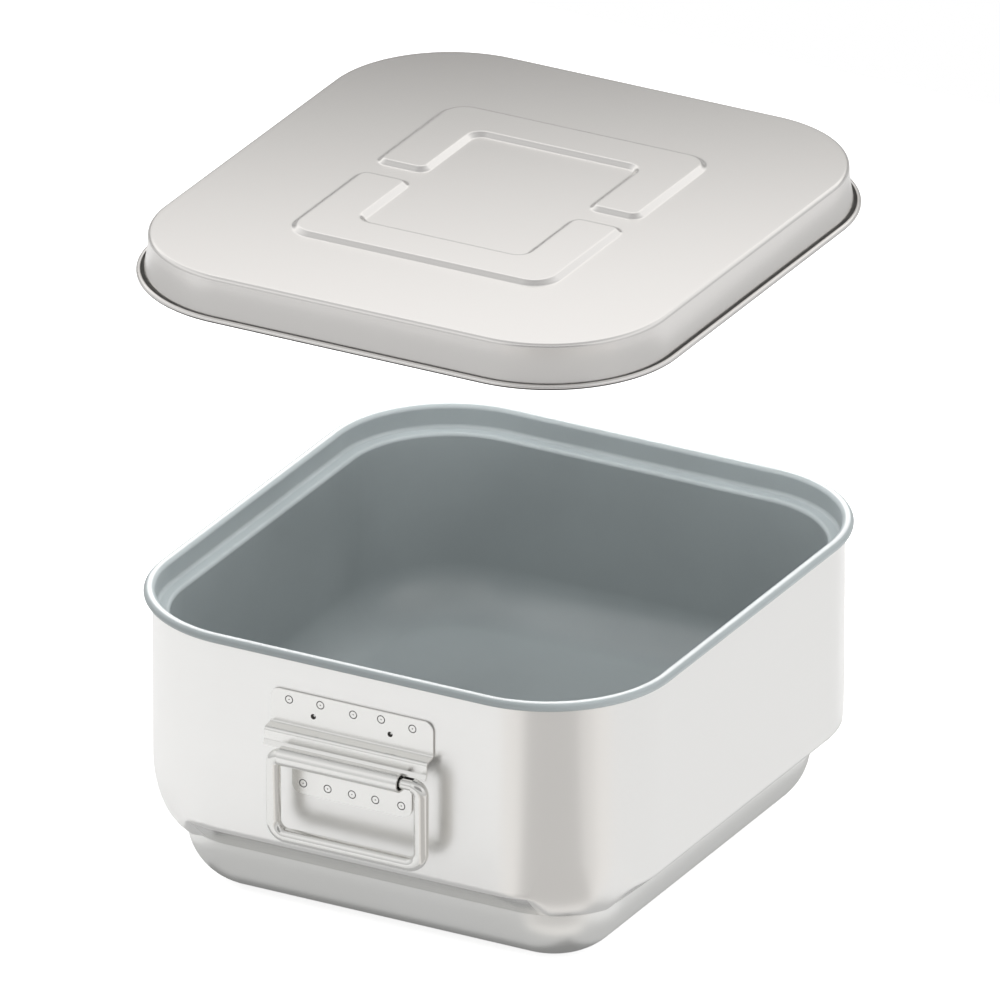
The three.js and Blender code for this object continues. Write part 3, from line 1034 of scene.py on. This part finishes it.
def ray_strength(tree, lit, mirrored, seen):
    """A strength for rays that carry light, for mirror and glass rays, and for rays from the camera."""
    path = tree.nodes.new("ShaderNodeLightPath")
    rays = {"Is Glossy Ray": mirrored, "Is Transmission Ray": mirrored, "Is Camera Ray": seen}
    value = lit
    for ray, strength in rays.items():
        choose = tree.nodes.new("ShaderNodeMapRange")
        tree.links.new(path.outputs[ray], choose.inputs["Value"])
        feed(tree, choose.inputs["To Min"], value)
        feed(tree, choose.inputs["To Max"], strength)
        value = choose.outputs["Result"]
    return value


def level_corners(half_x, half_y, height):
    """Corners of a level rectangle round the box's middle."""
    signs = ((-1, -1), (1, -1), (1, 1), (-1, 1))
    return [Vector((x * half_x, y * half_y, height)) for x, y in signs]


def floor_material():
    material, surface = shader("floor", FLOOR_COLOUR, metallic=0, roughness=FLOOR_ROUGHNESS)
    surface.inputs["Specular IOR Level"].default_value = 0
    surface.inputs["Emission Color"].default_value = (1, 1, 1, 1)
    strength = ray_strength(material.node_tree, 0, FLOOR_MIRROR_LIFT, FLOOR_LIFT)
    material.node_tree.links.new(strength, surface.inputs["Emission Strength"])
    return material


def floor():
    corners = level_corners(FLOOR_HALF, FLOOR_HALF, -FLOOR_DROP)
    piece = new_object("floor", corners, [(0, 1, 2, 3)])
    piece.data.materials.append(floor_material())


def world():
    """White for the camera, plain light for the object, and greyer above and below in the metal's mirror."""
    sky = bpy.data.worlds.new("studio")
    bpy.context.scene.world = sky
    sky.use_nodes = True
    tree = sky.node_tree
    place = tree.nodes.new("ShaderNodeTexCoord")
    axes = tree.nodes.new("ShaderNodeSeparateXYZ")
    ramp = tree.nodes.new("ShaderNodeValToRGB")
    ramp.color_ramp.elements.new(SKY_BRIGHT_AT)
    for stop, level in zip(ramp.color_ramp.elements, (HORIZON, 1, ZENITH)):
        stop.color = (level, level, level, 1)
    strength = ray_strength(tree, SKY_LIGHT, ramp.outputs["Color"], 1)
    tree.links.new(place.outputs["Generated"], axes.inputs["Vector"])
    tree.links.new(axes.outputs["Z"], ramp.inputs["Fac"])
    tree.links.new(strength, tree.nodes["Background"].inputs["Strength"])
    tree.nodes["Background"].inputs["Color"].default_value = (1, 1, 1, 1)


# Stage: cards

def card(name, corners, material):
    """A studio card that only mirror rays see."""
    piece = new_object(name, [Vector(corner) for corner in corners], [(0, 1, 2, 3)])
    piece.data.materials.append(material)
    piece.visible_camera = False
    piece.visible_diffuse = False
    piece.visible_transmission = False
    piece.visible_shadow = False


def card_material(name, bottom, top, start=0, end=1):
    """Glowing card, shaded from one colour to another between two shares of its height."""
    material = bpy.data.materials.new(name)
    material.use_nodes = True
    tree = material.node_tree
    tree.nodes.clear()
    place = tree.nodes.new("ShaderNodeTexCoord")
    axes = tree.nodes.new("ShaderNodeSeparateXYZ")
    ramp = tree.nodes.new("ShaderNodeValToRGB")
    ramp.color_ramp.elements[0].position = start
    ramp.color_ramp.elements[0].color = (*bottom, 1)
    ramp.color_ramp.elements[1].position = end
    ramp.color_ramp.elements[1].color = (*top, 1)
    glow = tree.nodes.new("ShaderNodeEmission")
    output = tree.nodes.new("ShaderNodeOutputMaterial")
    tree.links.new(place.outputs["Generated"], axes.inputs["Vector"])
    tree.links.new(axes.outputs["Z"], ramp.inputs["Fac"])
    tree.links.new(ramp.outputs["Color"], glow.inputs["Color"])
    tree.links.new(glow.outputs["Emission"], output.inputs["Surface"])
    return material


def plain_card(name, corners, colour):
    """A card of one colour."""
    card(name, corners, card_material(name, colour, colour))


def upright_corners(distance, half, bottom, top):
    """Corners of an upright card square to the camera; a positive distance lies behind the box."""
    away = Vector((-math.sin(CAMERA_AZIMUTH), math.cos(CAMERA_AZIMUTH), 0))
    side = Vector((away.y, -away.x, 0))
    middle = away * distance
    places = ((-half, bottom), (half, bottom), (half, top), (-half, top))
    return [middle + side * across + Vector((0, 0, height)) for across, height in places]


def back_card():
    """Upright card behind the box, dark below and bright above, that shades the lid from back to front."""
    corners = upright_corners(BACK_CARD_DISTANCE, BACK_CARD_HALF, BACK_CARD_BOTTOM, BACK_CARD_TOP)
    shades = (BACK_CARD_DARK, BACK_CARD_BRIGHT, BACK_CARD_DARK_TO, BACK_CARD_BRIGHT_FROM)
    card("back_card", corners, card_material("back_card", *shades))


def front_card():
    """Upright dark card on the camera's side, which draws dark lines along rounded edges and rods."""
    corners = upright_corners(-FRONT_CARD_DISTANCE, FRONT_CARD_HALF, FRONT_CARD_BOTTOM, FRONT_CARD_TOP)
    plain_card("front_card", corners, [FRONT_CARD_LEVEL] * 3)


def corner_cards():
    """Grey cards on the floor in front of the near corner, which give it its dark upright band."""
    for k, (azimuth, half_angle, level) in enumerate(CORNER_CARDS):
        height = CARD_LIFT * (len(CORNER_CARDS) + 1 - k)
        start = Vector((*CORNER_CARD_FROM, height))
        edges = []
        for side in (-1, 1):
            angle = math.radians(azimuth + side * half_angle)
            outward = Vector((math.sin(angle), -math.cos(angle), 0))
            sideways = Vector((math.cos(angle), math.sin(angle), 0)) * side
            near = start + sideways * CORNER_CARD_NEAR_HALF
            edges.append((near, near + outward * CORNER_CARD_LENGTH))
        (near_left, far_left), (near_right, far_right) = edges
        colour = [level * part for part in CORNER_CARD_TINT]
        plain_card(f"corner_card_{k}", [near_left, near_right, far_right, far_left], colour)


def base_cards():
    """Grey cards between the floor and the base, which shade the rounded base down to its dark foot."""
    count = len(BASE_CARDS)
    for k, (reach_x, reach_y, level) in enumerate(BASE_CARDS):
        height = FLOOR_DROP * (k - count) / (count + 1)
        corners = level_corners(RIM_HALF_X + reach_x, RIM_HALF_Y + reach_y, height)
        plain_card(f"base_card_{k}", corners, [level] * 3)


def side_card():
    """Pale card on the floor beside the box, which keeps the right wall from turning white."""
    near = RIM_HALF_X + SIDE_CARD_GAP
    far = near + SIDE_CARD_WIDTH
    places = [(near, SIDE_CARD_FROM), (far, SIDE_CARD_FROM), (far, SIDE_CARD_TO), (near, SIDE_CARD_TO)]
    corners = [(x, y, CARD_LIFT) for x, y in places]
    plain_card("side_card", corners, [SIDE_CARD_LEVEL] * 3)


# Stage: lamps and camera

def softbox(name, place, aim, width, height, watts):
    """A soft lamp that lights the coating and the floor and isn't mirrored in the steel."""
    lamp = bpy.data.lights.new(name, "AREA")
    lamp.shape = "RECTANGLE"
    lamp.size = width * MM
    lamp.size_y = height * MM
    lamp.energy = watts
    holder = bpy.data.objects.new(name, lamp)
    holder.location = Vector(place) * MM
    holder.rotation_euler = (Vector(aim) - Vector(place)).to_track_quat("-Z", "Y").to_euler()
    holder.visible_camera = False
    holder.visible_glossy = False
    bpy.context.scene.collection.objects.link(holder)


def rim_strips():
    """Narrow soft lamps over the rim, which light the ledge and the top of the rolled edge."""
    for side in (-1, 1):
        x = side * (RIM_HALF_X - STRIP_INSET)
        y = side * (RIM_HALF_Y - STRIP_INSET)
        size = (STRIP_WIDTH, STRIP_LENGTH)
        softbox(f"strip_x_{side}", (x, 0, STRIP_HEIGHT), (x, 0, 0), *size, STRIP_WATTS)
        softbox(f"strip_y_{side}", (0, y, STRIP_HEIGHT), (0, y, 0), *size[::-1], STRIP_WATTS)


def top_lamp():
    """A lamp high over the box, for the inside of the pot."""
    softbox("top", TOP_LAMP_PLACE, TOP_LAMP_AIM, TOP_LAMP_SIZE, TOP_LAMP_SIZE, TOP_LAMP_WATTS)


def side_lamp():
    """A low lamp on the right, aimed at the rim."""
    aim = (RIM_HALF_X, 0, RIM_HEIGHT)
    softbox("right", SIDE_LAMP_PLACE, aim, SIDE_LAMP_WIDTH, SIDE_LAMP_HEIGHT, SIDE_LAMP_WATTS)


def camera():
    """A camera so far off that the picture hardly narrows, with the rim's middle at its own pixel."""
    flat = math.cos(CAMERA_ELEVATION)
    back_x = math.sin(CAMERA_AZIMUTH) * flat
    back_y = -math.cos(CAMERA_AZIMUTH) * flat
    back = Vector((back_x, back_y, math.sin(CAMERA_ELEVATION)))
    turn = back.to_track_quat("Z", "Y")
    right = turn @ Vector((1, 0, 0))
    up = turn @ Vector((0, 1, 0))
    middle = PICTURE_SIZE / 2
    across = (middle - RIM_CENTRE_PIXEL[0]) / PIXELS_PER_MM
    upward = (RIM_CENTRE_PIXEL[1] - middle) / PIXELS_PER_MM
    aim = Vector((0, 0, RIM_HEIGHT)) + right * across + up * upward
    lens = bpy.data.cameras.new("camera")
    lens.sensor_width = SENSOR_WIDTH
    lens.lens = SENSOR_WIDTH * PIXELS_PER_MM * CAMERA_DISTANCE / PICTURE_SIZE
    lens.clip_end = CAMERA_REACH * MM
    view = bpy.data.objects.new("camera", lens)
    view.location = (aim + back * CAMERA_DISTANCE) * MM
    view.rotation_euler = turn.to_euler()
    bpy.context.scene.collection.objects.link(view)
    bpy.context.scene.camera = view


def build():
    """Makes every piece, and says which body it rides on and which node it replaces."""
    bright = bright_steel()
    rod = rod_steel()
    # The weld material also serves as the painted shade behind the bracket's holes
    weld_and_hole_shade = weld_tint_and_hole_shade_steel()
    parts = [
        (outer_wall(wall_steel(), band_shaded_steel()), "box", "outer_wall"),
        (base_pan(base_steel()), "box", "base_pan"),
        (inner_pot(pot_coating()), "box", "inner_pot"),
        (lid(lid_steel(), crevice_shade_steel()), "lid", "lid"),
    ]
    for place, angle in (("front", 0), ("rear", math.pi)):
        turn = Matrix.Rotation(angle, 4, "Z")
        parts.append((bracket(f"bracket_{place}", bright, turn), "box", f"handle_bracket_{place}"))
        parts.append((handle(f"drop_handle_{place}", rod, turn), f"handle_{place}", f"handle_{place}"))
        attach(weld_marks(f"weld_marks_{place}", weld_and_hole_shade, turn), "box")
        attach(hole_shade_rings(f"hole_shade_rings_{place}", weld_and_hole_shade, turn), "box")
    for piece, body, node in parts:
        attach(piece, body)
        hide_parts(node)
    insulation(foam())


build()
floor()
world()
back_card()
front_card()
corner_cards()
base_cards()
side_card()
rim_strips()
top_lamp()
side_lamp()
camera()
bpy.context.scene.view_settings.view_transform = "Standard"
